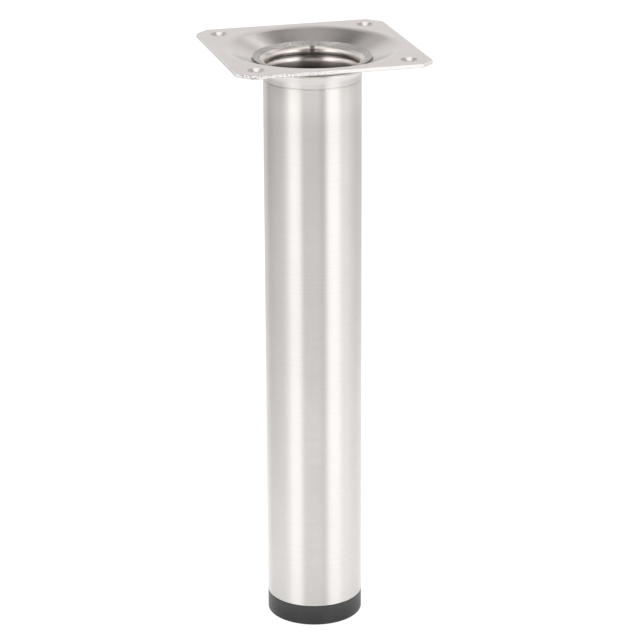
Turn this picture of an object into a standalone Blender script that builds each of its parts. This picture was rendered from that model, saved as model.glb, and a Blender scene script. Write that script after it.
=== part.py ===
"""Stainless steel furniture leg: pressed mounting plate, flared round tube and levelling foot.

The leg stands on its foot with +Z up, and its origin is at the middle of the foot's underside.
The plate's sides lie along X and Y. All lengths are in metres.
"""

import math

import bmesh
import bpy

# Driving dimensions of the whole leg
LEG_HEIGHT = 0.310
TUBE_DIAMETER = 0.050
TUBE_WALL = 0.0007
SEAT_GAP = 0.0003

# Mounting plate: a pressed square sheet with a round dish
PLATE_SIDE = 0.100
PLATE_THICKNESS = 0.0018
PLATE_CORNER_CUT = 0.007
PLATE_EDGE_BREAK = 0.0002
DISH_MARGIN = 0.0039
DISH_SHOULDER_RADIUS = 0.012
SEAT_ANGLE = math.radians(22)

# Screw holes in the plate's corners
SCREW_HOLE_INSET = 0.011
SCREW_HOLE_DIAMETER = 0.005
COUNTERSINK_DIAMETER = 0.009
COUNTERSINK_DEPTH = 0.0014

# Formed upper end of the tube
NECK_DRAW_IN = 0.0005
NECK_CLEARANCE = 0.0005
THROAT_RADIUS = 0.0017
FLARE_OVERHANG = 0.0052
BEAD_OVERHANG = 0.0042
BEAD_SLOT = 0.0002
BEAD_NECK_RADIUS = 0.0003
BEAD_ROOT_RADIUS = 0.0042
MARK_DROP = 0.001
MARK_WIDTH = 0.0014
MARK_DEPTH = 0.0002
MARK_WIDTH_SHARES = (0.0, 0.35, 0.65, 1.0)
MARK_DEPTH_SHARES = (0.0, 1.0, 1.0, 0.0)

# Plug in the tube's lower end, and the nut that it holds
INSERT_HEIGHT = 0.024
INSERT_SKIRT_WALL = 0.0024
INSERT_WEB_THICKNESS = 0.004
INSERT_HUB_DIAMETER = 0.026
INSERT_HUB_HEIGHT = 0.013
INSERT_LEAD_IN = 0.0012
NUT_WIDTH = 0.017
NUT_HEIGHT = 0.008
NUT_CHAMFER = 0.0012

# Levelling stud and foot
STUD_DIAMETER = 0.010
STUD_HEAD_DIAMETER = 0.018
STUD_HEAD_HEIGHT = 0.003
STUD_POINT = 0.001
LEVELLING_TRAVEL = 0.010
STUD_SPARE_LENGTH = 0.004
FOOT_HEIGHT = 0.0109
FOOT_BASE_THICKNESS = 0.0034
FOOT_RIM_WALL = 0.003
FOOT_BOSS_DIAMETER = 0.024
FOOT_EDGE_CHAMFER = 0.0008
FOOT_TOP_EDGE = 0.0003

# Straight ribs inside the plug and the foot
RIB_WIDTH = 0.002
RIB_COUNT = 6
RIB_OVERLAP = 0.0008
RIB_DROP = 0.0015

# Facets: how finely the round pieces are divided
TUBE_STEPS = 64
SMALL_STEPS = 48
HOLE_STEPS = 24
BEND_SEGMENTS = 4
SHOULDER_SEGMENTS = 6
CORNER_SEGMENTS = 6
SIDE_SEGMENTS = 12
SMOOTH_ANGLE = math.radians(30)
EDGE_ANGLE = math.radians(60)
CUT_OVERRUN = 0.001
WELD_DISTANCE = 0.000001

# Sizes that follow from the driving dimensions
TUBE_RADIUS = TUBE_DIAMETER / 2
BORE_RADIUS = TUBE_RADIUS - TUBE_WALL
NECK_RADIUS = TUBE_RADIUS - NECK_DRAW_IN
PLATE_HOLE_RADIUS = NECK_RADIUS + NECK_CLEARANCE
DISH_RADIUS = PLATE_SIDE / 2 - DISH_MARGIN
SHOULDER_END_RADIUS = DISH_RADIUS - DISH_SHOULDER_RADIUS * math.sin(SEAT_ANGLE)
SHOULDER_DROP = DISH_SHOULDER_RADIUS * (1 - math.cos(SEAT_ANGLE))
SEAT_DROP = (SHOULDER_END_RADIUS - PLATE_HOLE_RADIUS) * math.tan(SEAT_ANGLE)
DISH_DEPTH = SHOULDER_DROP + SEAT_DROP
TUBE_BOTTOM = FOOT_HEIGHT + SEAT_GAP
STUD_RADIUS = STUD_DIAMETER / 2
STUD_BOTTOM = FOOT_BASE_THICKNESS + SEAT_GAP
STUD_TOP = TUBE_BOTTOM + NUT_HEIGHT + LEVELLING_TRAVEL + STUD_SPARE_LENGTH


def empty_scene():
    """Remove the objects of the scene that the script is run in."""
    for old in list(bpy.data.objects):
        bpy.data.objects.remove(old, do_unlink=True)


def new_collection(name):
    """A collection linked to the scene."""
    collection = bpy.data.collections.new(name)
    bpy.context.scene.collection.children.link(collection)
    return collection


def new_material(name, colour, metallic, roughness):
    """A Principled BSDF material."""
    material = bpy.data.materials.new(name)
    material.use_nodes = True
    shader = material.node_tree.nodes["Principled BSDF"]
    shader.inputs["Base Color"].default_value = (*colour, 1)
    shader.inputs["Metallic"].default_value = metallic
    shader.inputs["Roughness"].default_value = roughness
    return material


def new_object(name, mesh, collection, material=None):
    """Put a mesh into a collection as a named object."""
    thing = bpy.data.objects.new(name, mesh)
    collection.objects.link(thing)
    if material:
        mesh.materials.append(material)
    return thing


def mesh_from(name, shape):
    """Turn a bmesh into a mesh and free it."""
    mesh = bpy.data.meshes.new(name)
    shape.to_mesh(mesh)
    shape.free()
    return mesh


def smooth(mesh):
    """Shade a round piece smooth, and keep its edges sharp."""
    mesh.shade_smooth()
    mesh.set_sharp_from_angle(angle=SMOOTH_ANGLE)


def turned(name, profile, closed, steps, collection, material=None):
    """Turn an (r, z) profile about Z. It runs down its outer side, and a closed one never meets the axis."""
    shape = bmesh.new()
    points = [shape.verts.new((r, 0, z)) for r, z in profile]
    for first, second in zip(points, points[1:]):
        shape.edges.new((first, second))
    if closed:
        shape.edges.new((points[-1], points[0]))
    thing = new_object(name, mesh_from(name, shape), collection, material)
    screw = thing.modifiers.new("turn", "SCREW")
    screw.axis = "Z"
    screw.angle = math.tau
    screw.steps = steps
    screw.render_steps = steps
    screw.use_merge_vertices = True
    screw.merge_threshold = WELD_DISTANCE
    screw.use_smooth_shade = True
    return thing


def prism(name, outline, z_low, z_high, collection, material=None):
    """A flat outline, filled and drawn up from z_low to z_high, as a welded mesh."""
    curve = bpy.data.curves.new(name, "CURVE")
    curve.dimensions = "2D"
    curve.fill_mode = "BOTH"
    curve.extrude = (z_high - z_low) / 2
    spline = curve.splines.new("POLY")
    spline.points.add(len(outline) - 1)
    for point, (x, y) in zip(spline.points, outline):
        point.co = (x, y, 0, 1)
    spline.use_cyclic_u = True
    drawn = new_object(name, curve, collection)
    drawn.location.z = (z_high + z_low) / 2
    bpy.context.view_layer.update()
    mesh = bpy.data.meshes.new_from_object(drawn.evaluated_get(bpy.context.evaluated_depsgraph_get()))
    place = drawn.matrix_world.copy()
    bpy.data.objects.remove(drawn, do_unlink=True)
    shape = bmesh.new()
    shape.from_mesh(mesh)
    bmesh.ops.remove_doubles(shape, verts=shape.verts, dist=WELD_DISTANCE)
    bmesh.ops.recalc_face_normals(shape, faces=shape.faces)
    solid = new_object(name, mesh_from(name, shape), collection, material)
    solid.matrix_world = place
    return solid


def as_cutter(thing):
    """Hide a cutting tool from the render and show it as wire."""
    thing.hide_render = True
    thing.display_type = "WIRE"


def combine(thing, tool, operation="DIFFERENCE"):
    """Cut a piece with another solid, or join or intersect them."""
    as_cutter(tool)
    boolean = thing.modifiers.new(tool.name, "BOOLEAN")
    boolean.operation = operation
    boolean.object = tool


def arc(centre, radius, start, end, segments):
    """Points on an arc in the (r, z) plane, with angles from the r axis."""
    angles = [start + (end - start) * i / segments for i in range(segments + 1)]
    return [(centre[0] + radius * math.cos(a), centre[1] + radius * math.sin(a)) for a in angles]


def plate_profile():
    """The (r, height) points of the plate's upper face, from the hole to the dish's edge."""
    top = LEG_HEIGHT
    centre = (DISH_RADIUS, top - DISH_SHOULDER_RADIUS)
    shoulder = arc(centre, DISH_SHOULDER_RADIUS, math.pi / 2 + SEAT_ANGLE, math.pi / 2, SHOULDER_SEGMENTS)
    middle = (PLATE_HOLE_RADIUS + SHOULDER_END_RADIUS) / 2
    return [
        (PLATE_HOLE_RADIUS, top - DISH_DEPTH),
        (middle, top - DISH_DEPTH + SEAT_DROP / 2),
        *shoulder,
    ]


def plate_outline():
    """The sides and cut corners of the plate, counter-clockwise, as (x, y) points."""
    half = PLATE_SIDE / 2
    middle = half - PLATE_CORNER_CUT
    corner_angle = math.atan2(middle, half)
    side = []
    for i in range(1, SIDE_SEGMENTS):
        angle = -corner_angle + 2 * corner_angle * i / SIDE_SEGMENTS
        side.append((half, half * math.tan(angle)))
    cut = []
    for i in range(CORNER_SEGMENTS + 1):
        along = PLATE_CORNER_CUT * i / CORNER_SEGMENTS
        cut.append((half - along, middle + along))
    quarter = side + cut
    outline = []
    for turn in range(4):
        c, s = math.cos(turn * math.pi / 2), math.sin(turn * math.pi / 2)
        outline += [(c * x - s * y, s * x + c * y) for x, y in quarter]
    return outline


def mounting_plate(collection, cutters, material):
    """The pressed sheet: rings of the dish, widened to the square outline, then thickened downwards."""
    outline = plate_outline()
    angles = [math.atan2(y, x) for x, y in outline]
    shape = bmesh.new()
    rings = []
    for r, z in plate_profile():
        rings.append([shape.verts.new((r * math.cos(a), r * math.sin(a), z)) for a in angles])
    rings.append([shape.verts.new((x, y, LEG_HEIGHT)) for x, y in outline])
    count = len(outline)
    for inner, outer in zip(rings, rings[1:]):
        for i in range(count):
            j = (i + 1) % count
            shape.faces.new((inner[i], outer[i], outer[j], inner[j]))
    plate = new_object("mounting_plate", mesh_from("mounting_plate", shape), collection, material)
    smooth(plate.data)
    sheet = plate.modifiers.new("sheet", "SOLIDIFY")
    sheet.thickness = PLATE_THICKNESS
    sheet.offset = -1
    sheet.use_even_offset = True
    edge = plate.modifiers.new("edge", "BEVEL")
    edge.width = PLATE_EDGE_BREAK
    edge.segments = 1
    edge.limit_method = "ANGLE"
    edge.angle_limit = EDGE_ANGLE
    screw_holes(plate, cutters)
    return plate


def screw_holes(plate, cutters):
    """Countersunk holes in the plate's four corners."""
    reach = PLATE_SIDE / 2 - SCREW_HOLE_INSET
    slope = (COUNTERSINK_DIAMETER - SCREW_HOLE_DIAMETER) / 2 / COUNTERSINK_DEPTH
    profile = [
        (0, CUT_OVERRUN),
        (COUNTERSINK_DIAMETER / 2 + slope * CUT_OVERRUN, CUT_OVERRUN),
        (SCREW_HOLE_DIAMETER / 2, -COUNTERSINK_DEPTH),
        (SCREW_HOLE_DIAMETER / 2, -PLATE_THICKNESS - CUT_OVERRUN),
        (0, -PLATE_THICKNESS - CUT_OVERRUN),
    ]
    for x in (-reach, reach):
        for y in (-reach, reach):
            drill = turned("screw_hole", profile, False, HOLE_STEPS, cutters)
            drill.location = (x, y, LEG_HEIGHT)
            combine(plate, drill)


def bend(path, corner, direction_in, direction_out, radius):
    """Round a corner of a sheet's mid line: adds (point, direction) pairs along the bend to the path."""
    turn = math.remainder(direction_out - direction_in, math.tau)
    side = math.copysign(math.pi / 2, turn)
    reach = radius * math.tan(abs(turn) / 2)
    start = (corner[0] - reach * math.cos(direction_in), corner[1] - reach * math.sin(direction_in))
    centre = (
        start[0] + radius * math.cos(direction_in + side),
        start[1] + radius * math.sin(direction_in + side),
    )
    for i in range(BEND_SEGMENTS + 1):
        direction = direction_in + turn * i / BEND_SEGMENTS
        x = centre[0] - radius * math.cos(direction + side)
        z = centre[1] - radius * math.sin(direction + side)
        path.append(((x, z), direction))


def along_seat(offset, radius):
    """The point at this radius on the line that lies offset above the plate's conical seat."""
    above = offset / math.cos(SEAT_ANGLE)
    rise = (radius - PLATE_HOLE_RADIUS) * math.tan(SEAT_ANGLE)
    return (radius, LEG_HEIGHT - DISH_DEPTH + rise + above)


def tube_path():
    """The tube wall's mid line from the flare's rim down, as (point, direction) pairs."""
    down = -math.pi / 2
    out_up = SEAT_ANGLE
    in_down = SEAT_ANGLE - math.pi
    half = TUBE_WALL / 2
    flare = SEAT_GAP + half
    upper_flank = -PLATE_THICKNESS - SEAT_GAP - half
    lower_flank = upper_flank - TUBE_WALL - BEAD_SLOT
    neck = NECK_RADIUS - half
    body = TUBE_RADIUS - half
    fold = (TUBE_WALL + BEAD_SLOT) / 2
    path = [(along_seat(flare, TUBE_RADIUS + FLARE_OVERHANG), in_down)]
    bend(path, along_seat(flare, neck), in_down, down, THROAT_RADIUS + half)
    bend(path, along_seat(upper_flank, neck), down, out_up, BEAD_NECK_RADIUS + half)
    crest = TUBE_RADIUS + BEAD_OVERHANG - fold - half
    middle = along_seat((upper_flank + lower_flank) / 2, crest)
    for i in range(BEND_SEGMENTS + 1):
        direction = out_up - math.pi * i / BEND_SEGMENTS
        normal = direction + math.pi / 2
        point = (middle[0] + fold * math.cos(normal), middle[1] + fold * math.sin(normal))
        path.append((point, direction))
    bend(path, along_seat(lower_flank, body), in_down, down, BEAD_ROOT_RADIUS + half)
    path.append(((body, TUBE_BOTTOM), down))
    return path


def leg_tube(collection, material):
    """The tube: its wall's mid line, set off to both sides and turned, with a tool mark pressed round it."""
    outer, inner = [], []
    for (x, z), direction in tube_path():
        side = direction + math.pi / 2
        dx, dz = TUBE_WALL / 2 * math.cos(side), TUBE_WALL / 2 * math.sin(side)
        outer.append((x + dx, z + dz))
        inner.append((x - dx, z - dz))
    mark_top = outer[-2][1] - MARK_DROP
    mark = [
        (TUBE_RADIUS - MARK_DEPTH * depth_share, mark_top - MARK_WIDTH * width_share)
        for width_share, depth_share in zip(MARK_WIDTH_SHARES, MARK_DEPTH_SHARES)
    ]
    outer[-1:-1] = mark
    return turned("leg_tube", outer + inner[::-1], True, TUBE_STEPS, collection, material)


def add_ribs(piece, tools, inner_radius, outer_radius, overlap, z_low, z_high):
    """Join a ring of straight ribs to a hub and a wall, sunk a little into both."""
    shape = bmesh.new()
    bmesh.ops.create_cube(shape, size=1)
    length = outer_radius - inner_radius + 2 * overlap
    bmesh.ops.scale(shape, vec=(length, RIB_WIDTH, z_high - z_low), verts=shape.verts)
    bmesh.ops.translate(
        shape, vec=((inner_radius + outer_radius) / 2, 0, (z_high + z_low) / 2), verts=shape.verts
    )
    rib_mesh = mesh_from("rib", shape)
    for i in range(RIB_COUNT):
        rib = new_object("rib", rib_mesh, tools)
        rib.rotation_euler.z = math.tau * (i + 0.5) / RIB_COUNT
        combine(piece, rib, "UNION")


def tube_insert(collection, cutters, material):
    """The plug: a skirt that lines the tube, a web across it and a hub that holds the nut."""
    outer = BORE_RADIUS - SEAT_GAP
    low = TUBE_BOTTOM
    hub = INSERT_HUB_DIAMETER / 2
    bore = STUD_RADIUS + SEAT_GAP
    top = low + INSERT_HEIGHT
    hub_top = low + INSERT_HUB_HEIGHT
    profile = [
        (outer - INSERT_SKIRT_WALL, top),
        (outer - INSERT_LEAD_IN, top),
        (outer, top - INSERT_LEAD_IN),
        (outer, low),
        (bore, low),
        (bore, hub_top),
        (hub, hub_top),
        (hub, low + INSERT_WEB_THICKNESS),
        (outer - INSERT_SKIRT_WALL, low + INSERT_WEB_THICKNESS),
    ]
    insert = turned("tube_insert", profile, True, SMALL_STEPS, collection, material)
    add_ribs(
        insert,
        cutters,
        hub,
        outer - INSERT_SKIRT_WALL,
        RIB_OVERLAP,
        low + INSERT_WEB_THICKNESS - RIB_OVERLAP,
        hub_top - RIB_DROP,
    )
    pocket_width = NUT_WIDTH + 2 * SEAT_GAP
    pocket = hexagon("nut_pocket", pocket_width, low - CUT_OVERRUN, low + NUT_HEIGHT + SEAT_GAP, cutters)
    combine(insert, pocket)
    return insert


def hexagon(name, width, z_low, z_high, collection, material=None):
    """A hexagonal bar, given its width across the flats."""
    corner_radius = width / 2 / math.cos(math.pi / 6)
    outline = arc((0, 0), corner_radius, 0, math.tau, 6)[:-1]
    return prism(name, outline, z_low, z_high, collection, material)


def insert_nut(collection, cutters, material):
    """The hexagon nut, with its corners turned off at both ends."""
    low = TUBE_BOTTOM
    high = low + NUT_HEIGHT
    corner_radius = NUT_WIDTH / 2 / math.cos(math.pi / 6)
    nut = hexagon("insert_nut", NUT_WIDTH, low, high, collection, material)
    bore = STUD_RADIUS + SEAT_GAP
    wide = corner_radius + CUT_OVERRUN
    slope = (wide - NUT_WIDTH / 2) * NUT_CHAMFER / (corner_radius - NUT_WIDTH / 2)
    profile = [
        (bore, high),
        (NUT_WIDTH / 2, high),
        (wide, high - slope),
        (wide, low + slope),
        (NUT_WIDTH / 2, low),
        (bore, low),
    ]
    blank = turned("nut_blank", profile, True, SMALL_STEPS, cutters)
    combine(nut, blank, "INTERSECT")
    return nut


def levelling_stud(collection, material):
    """The stud: a round head held in the foot, and a shank up through the nut."""
    head = STUD_HEAD_DIAMETER / 2
    profile = [
        (0, STUD_TOP),
        (STUD_RADIUS - STUD_POINT, STUD_TOP),
        (STUD_RADIUS, STUD_TOP - STUD_POINT),
        (STUD_RADIUS, STUD_BOTTOM + STUD_HEAD_HEIGHT),
        (head, STUD_BOTTOM + STUD_HEAD_HEIGHT),
        (head, STUD_BOTTOM),
        (0, STUD_BOTTOM),
    ]
    return turned("levelling_stud", profile, False, SMALL_STEPS, collection, material)


def foot(collection, cutters, material):
    """The moulded foot: rim, base and a boss that is closed in over the stud's head."""
    rim = TUBE_RADIUS
    boss = FOOT_BOSS_DIAMETER / 2
    head = STUD_HEAD_DIAMETER / 2 + SEAT_GAP
    bore = STUD_RADIUS + SEAT_GAP
    head_top = STUD_BOTTOM + STUD_HEAD_HEIGHT + SEAT_GAP
    profile = [
        (0, FOOT_BASE_THICKNESS),
        (head, FOOT_BASE_THICKNESS),
        (head, head_top),
        (bore, head_top),
        (bore, FOOT_HEIGHT),
        (boss, FOOT_HEIGHT),
        (boss, FOOT_BASE_THICKNESS),
        (rim - FOOT_RIM_WALL, FOOT_BASE_THICKNESS),
        (rim - FOOT_RIM_WALL, FOOT_HEIGHT),
        (rim - FOOT_TOP_EDGE, FOOT_HEIGHT),
        (rim, FOOT_HEIGHT - FOOT_TOP_EDGE),
        (rim, FOOT_EDGE_CHAMFER),
        (rim - FOOT_EDGE_CHAMFER, 0),
        (0, 0),
    ]
    piece = turned("foot", profile, False, TUBE_STEPS, collection, material)
    add_ribs(
        piece,
        cutters,
        boss,
        rim - FOOT_RIM_WALL,
        RIB_OVERLAP,
        FOOT_BASE_THICKNESS - RIB_OVERLAP,
        FOOT_HEIGHT - RIB_DROP,
    )
    return piece


def build():
    """Model the whole leg."""
    empty_scene()
    leg = new_collection("furniture_leg")
    cutters = new_collection("cutters")
    satin_steel = new_material("satin_stainless", (0.65, 0.63, 0.61), 1.0, 0.30)
    zinc_steel = new_material("zinc_plated_steel", (0.62, 0.62, 0.60), 1.0, 0.35)
    black_plastic = new_material("black_plastic", (0.035, 0.035, 0.037), 0.0, 0.45)
    mounting_plate(leg, cutters, satin_steel)
    leg_tube(leg, satin_steel)
    tube_insert(leg, cutters, black_plastic)
    insert_nut(leg, cutters, zinc_steel)
    levelling_stud(leg, zinc_steel)
    foot(leg, cutters, black_plastic)


build()
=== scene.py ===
# %% [markdown]
# # A stainless steel furniture leg
# A cabinet leg of this kind is a thin round tube with a square plate on top, which is screwed under the
# furniture, and a black plastic foot that can be wound down to level it. The solid model already has the
# right sizes and joints. This lesson dresses it: finer meshes for the formed sheet metal, a procedural
# material for each finish, and the light of a small studio. The first cell loads the solids and keeps
# their box, because nothing that follows may grow past it.

# %% Load the solid model
import math

import bmesh
import bpy
from mathutils import Matrix, Vector, noise


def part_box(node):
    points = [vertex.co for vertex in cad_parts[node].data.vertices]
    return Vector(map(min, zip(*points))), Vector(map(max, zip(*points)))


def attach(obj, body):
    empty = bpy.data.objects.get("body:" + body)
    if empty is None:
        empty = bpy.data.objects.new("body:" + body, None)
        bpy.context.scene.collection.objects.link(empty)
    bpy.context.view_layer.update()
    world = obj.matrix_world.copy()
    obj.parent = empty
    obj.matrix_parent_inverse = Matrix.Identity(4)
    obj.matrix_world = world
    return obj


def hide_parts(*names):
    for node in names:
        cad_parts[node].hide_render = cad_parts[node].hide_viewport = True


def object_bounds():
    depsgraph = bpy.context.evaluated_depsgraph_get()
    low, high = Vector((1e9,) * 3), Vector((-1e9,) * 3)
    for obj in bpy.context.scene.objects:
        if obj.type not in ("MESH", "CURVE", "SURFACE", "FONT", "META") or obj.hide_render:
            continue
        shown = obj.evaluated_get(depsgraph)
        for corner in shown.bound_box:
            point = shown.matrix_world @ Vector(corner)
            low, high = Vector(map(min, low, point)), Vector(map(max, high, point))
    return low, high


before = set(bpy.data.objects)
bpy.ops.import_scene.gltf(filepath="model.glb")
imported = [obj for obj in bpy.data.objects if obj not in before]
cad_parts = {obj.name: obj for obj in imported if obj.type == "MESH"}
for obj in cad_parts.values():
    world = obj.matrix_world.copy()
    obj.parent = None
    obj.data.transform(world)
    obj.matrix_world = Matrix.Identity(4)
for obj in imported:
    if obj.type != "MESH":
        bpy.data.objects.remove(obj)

cad_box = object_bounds()
LEG_HEIGHT = cad_box[1][2]
print("solids:", sorted(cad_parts))
print("box:", [[round(v, 4) for v in corner] for corner in cad_box])

# %% [markdown]
# ## The camera
# A long lens keeps the tube's sides nearly parallel, as in a catalogue picture. The place and the tilt
# come from lining up the outlines of a tube of 50 mm, a plate of 100 mm and a height of 310 mm, so they
# could be typed as angles and moved by eye, but a direction, a roll and a lens say it exactly. The plate
# is turned 15 degrees away from the camera, which shows two of its edges. The focal length is in pixels
# of a picture 640 wide, and a sensor of 36 mm turns it into Blender's millimetres.

# %% Place the camera
CAMERA_TURN = math.radians(-15.175)
CAMERA_DISTANCE = 1.32834
CAMERA_HEIGHT = 0.63724
CAMERA_PAN = math.radians(0.1469)
CAMERA_TILT = math.radians(19.6167)
CAMERA_ROLL = math.radians(-0.2093)
FOCAL_PIXELS = 2703.92
IMAGE_WIDTH = 640

ahead = Vector((
    math.sin(CAMERA_PAN) * math.cos(CAMERA_TILT),
    math.cos(CAMERA_PAN) * math.cos(CAMERA_TILT),
    -math.sin(CAMERA_TILT),
))
level_right = ahead.cross(Vector((0, 0, 1))).normalized()
level_up = level_right.cross(ahead)
right = level_right * math.cos(CAMERA_ROLL) + level_up * math.sin(CAMERA_ROLL)
up = level_up * math.cos(CAMERA_ROLL) - level_right * math.sin(CAMERA_ROLL)
stand = Matrix((right, up, -ahead)).transposed().to_4x4()
stand.translation = Vector((0, -CAMERA_DISTANCE, CAMERA_HEIGHT))

lens = bpy.data.cameras.new("camera")
lens.sensor_width = 36
lens.lens = FOCAL_PIXELS / IMAGE_WIDTH * lens.sensor_width
lens.clip_start = 0.01
camera = bpy.data.objects.new("camera", lens)
bpy.context.scene.collection.objects.link(camera)
camera.matrix_world = Matrix.Rotation(CAMERA_TURN, 4, "Z") @ stand
bpy.context.scene.camera = camera
print("lens:", round(lens.lens, 1), "mm, camera at", [round(v, 3) for v in camera.matrix_world.translation])

# %% [markdown]
# ## A helper for materials
# Every finish here is a node tree round one Principled BSDF. Typing out each node and each link hides the
# idea, so one small helper adds a node, sets its inputs, and links what is already a socket.

# %% Start a material and add nodes to it
def new_material(name, colour, metallic, roughness):
    """A material whose whole-surface values sit on the shader's own sockets."""
    material = bpy.data.materials.new(name)
    material.use_nodes = True
    shader = material.node_tree.nodes["Principled BSDF"]
    shader.inputs["Base Color"].default_value = (*colour, 1)
    shader.inputs["Metallic"].default_value = metallic
    shader.inputs["Roughness"].default_value = roughness
    return material, shader


def add_node(tree, kind, inputs=None, **settings):
    """Add a node. Inputs are given by name or number, as a value or as the socket that feeds them."""
    made = tree.nodes.new(kind)
    for name, value in settings.items():
        setattr(made, name, value)
    for key, value in (inputs or {}).items():
        if isinstance(value, bpy.types.NodeSocket):
            tree.links.new(value, made.inputs[key])
        else:
            made.inputs[key].default_value = value
    return made


print("helpers for materials: new_material, add_node")

# %% [markdown]
# ## Patterns that follow the metal
# Brushing on a turned tube runs round it, and the grain of a rolled sheet runs along it. Both are noise
# that is stretched: small steps across the lines and long ones along them. Object coordinates are metres
# on the real object, so a scale of 2000 means lines half a millimetre apart.

# %% Stretched noise, ramps and places
def stretched_noise(tree, scale, detail=3.0, roughness=0.6):
    """Noise whose scale differs along X, Y and Z."""
    place = add_node(tree, "ShaderNodeTexCoord")
    stretch = add_node(tree, "ShaderNodeMapping", {"Vector": place.outputs["Object"], "Scale": scale})
    grain = add_node(
        tree,
        "ShaderNodeTexNoise",
        {"Vector": stretch.outputs["Vector"], "Scale": 1.0, "Detail": detail, "Roughness": roughness},
    )
    return grain.outputs["Fac"]


def ramp(tree, value, low, high, to_low=0.0, to_high=1.0, smooth=True):
    """Turn a range of values into another one."""
    made = add_node(
        tree,
        "ShaderNodeMapRange",
        {"Value": value, "From Min": low, "From Max": high, "To Min": to_low, "To Max": to_high},
        interpolation_type="SMOOTHSTEP" if smooth else "LINEAR",
    )
    return made.outputs["Result"]


def calculate(tree, operation, first, second):
    """One step of arithmetic on sockets or numbers."""
    return add_node(tree, "ShaderNodeMath", {0: first, 1: second}, operation=operation).outputs[0]


def place_parts(tree):
    """The distance from the leg's axis and the height, both in metres."""
    place = add_node(tree, "ShaderNodeTexCoord")
    parts = add_node(tree, "ShaderNodeSeparateXYZ", {0: place.outputs["Object"]})
    across = calculate(tree, "MULTIPLY", parts.outputs["X"], parts.outputs["X"])
    along = calculate(tree, "MULTIPLY", parts.outputs["Y"], parts.outputs["Y"])
    radius = calculate(tree, "SQRT", calculate(tree, "ADD", across, along), 0.0)
    return radius, parts.outputs["Z"]


print("helpers for patterns: stretched_noise, ramp, calculate, place_parts")

# %% [markdown]
# ## Colours, numbers and bumps
# A finish is mostly a few masks that say where something happens, and then a colour, a roughness or a
# height that follows them. Three more helpers keep the trees short: two go from one colour or number to
# another by a mask, and one adds a bump, whose distance is a real height in metres.

# %% Mix and bump
def mix_colours(tree, share, first, second):
    """Go from one colour to another by a share. A colour is three numbers or a socket."""
    ends = [c if isinstance(c, bpy.types.NodeSocket) else (*c, 1) for c in (first, second)]
    made = add_node(tree, "ShaderNodeMix", {0: share, 6: ends[0], 7: ends[1]}, data_type="RGBA")
    return made.outputs[2]


def mix_numbers(tree, share, first, second):
    """Go from one number to another by a share."""
    made = add_node(tree, "ShaderNodeMix", {0: share, 2: first, 3: second}, data_type="FLOAT")
    return made.outputs[0]


def bump(tree, strength, distance, height, normal=None):
    """Tilt the normal as a small height would, on top of another bump if one is given."""
    inputs = {"Strength": strength, "Distance": distance, "Height": height}
    if normal is not None:
        inputs["Normal"] = normal
    return add_node(tree, "ShaderNodeBump", inputs).outputs["Normal"]


print("helpers for finishes: mix_colours, mix_numbers, bump")

# %% [markdown]
# ## Where the tube was worked
# The tube isn't the same all the way up. Its flare was pressed over by a tool, and is dull and speckled.
# The throat below was burnished, and the bore is soon painted dark, as painted shade inside the tube. A
# roller left a shallow mark round the tube under the bead, and the mark is painted darker, as painted shade
# in its groove. The last stretch under the bead is painted a little paler, as painted light from the
# plate's pale underside. The tube is made of strip and welded along its length, and at the mouth the weld
# is a burnt line with a small nick. Most of these places are heights below the plate's upper face. They are
# written down once, for the materials and for the mesh.

# %% Note the heights and mask the weld
MOUTH_LOW = LEG_HEIGHT - 0.0095
MOUTH_BLEND = 0.001
FLARE_LOW = LEG_HEIGHT - 0.0075
FLARE_BLEND = 0.0005
# From here down, the bore is painted dark, as painted shade inside the tube.
BORE_BRIGHT_TO = LEG_HEIGHT - 0.0130
BORE_DARK_FROM = LEG_HEIGHT - 0.0170
# From here up, the tube's tone is painted paler, as painted light from the plate's underside.
TOP_LIGHT_FROM = LEG_HEIGHT - 0.0380
TOP_LIGHT_FULL = LEG_HEIGHT - 0.0250
MARK_TOP = LEG_HEIGHT - 0.01519
MARK_WIDTH = 0.0014
MARK_DEPTH = 0.0002
WELD_ANGLE = math.radians(74.8)
WELD_CORE = 0.0006
WELD_EDGE = 0.0016


def weld_mark(tree):
    """One along the tube's weld at the mouth, nothing elsewhere."""
    place = add_node(tree, "ShaderNodeTexCoord")
    turned = add_node(
        tree,
        "ShaderNodeVectorRotate",
        {"Vector": place.outputs["Object"], "Angle": -WELD_ANGLE},
        rotation_type="Z_AXIS",
    )
    parts = add_node(tree, "ShaderNodeSeparateXYZ", {0: turned.outputs[0]})
    across = calculate(tree, "ABSOLUTE", parts.outputs["Y"], 0.0)
    near_weld = ramp(tree, across, WELD_EDGE, WELD_CORE)
    this_side = ramp(tree, parts.outputs["X"], 0.0, 0.01)
    line = calculate(tree, "MULTIPLY", near_weld, this_side)
    at_mouth = ramp(tree, parts.outputs["Z"], MOUTH_LOW, MOUTH_LOW + MOUTH_BLEND)
    return calculate(tree, "MULTIPLY", line, at_mouth)


print("weld at", round(math.degrees(WELD_ANGLE), 1), "degrees, mark at", round(MARK_TOP, 5))

# %% [markdown]
# ## Satin stainless steel for the tube
# The tube is ground on a belt while it turns, which leaves fine lines round it. Such lines spread a
# reflection along the tube and keep it narrow across, so lamps show as tall bright stripes. Painting the
# stripes would only be right from one side. Anisotropy on the shader gives them from every side: the
# tangent circles the Z axis, and a quarter turn lays the long way of the highlight along the tube.
# Stretched noise adds the lines that can just be seen, as a small change of height, roughness and tone.
# The flare, the mark and the weld are masks on top: all three darken the tone, and the flare is also rough
# and speckled. The mark's darkening is painted shade in its groove, and a paler tone near the top is
# painted light from the plate's underside.

# %% Make the tube's steel
STEEL_COLOUR = (0.65, 0.626, 0.607)
BRUSHED_TONES = (0.632, 0.609, 0.590), (0.671, 0.646, 0.627)
TOP_LIGHT_TONE = (0.70, 0.675, 0.654)
PIT_AND_SHADE_TONE = (0.30, 0.285, 0.275)
FLARE_FROM, FLARE_FULL = 0.0252, 0.0266


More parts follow.
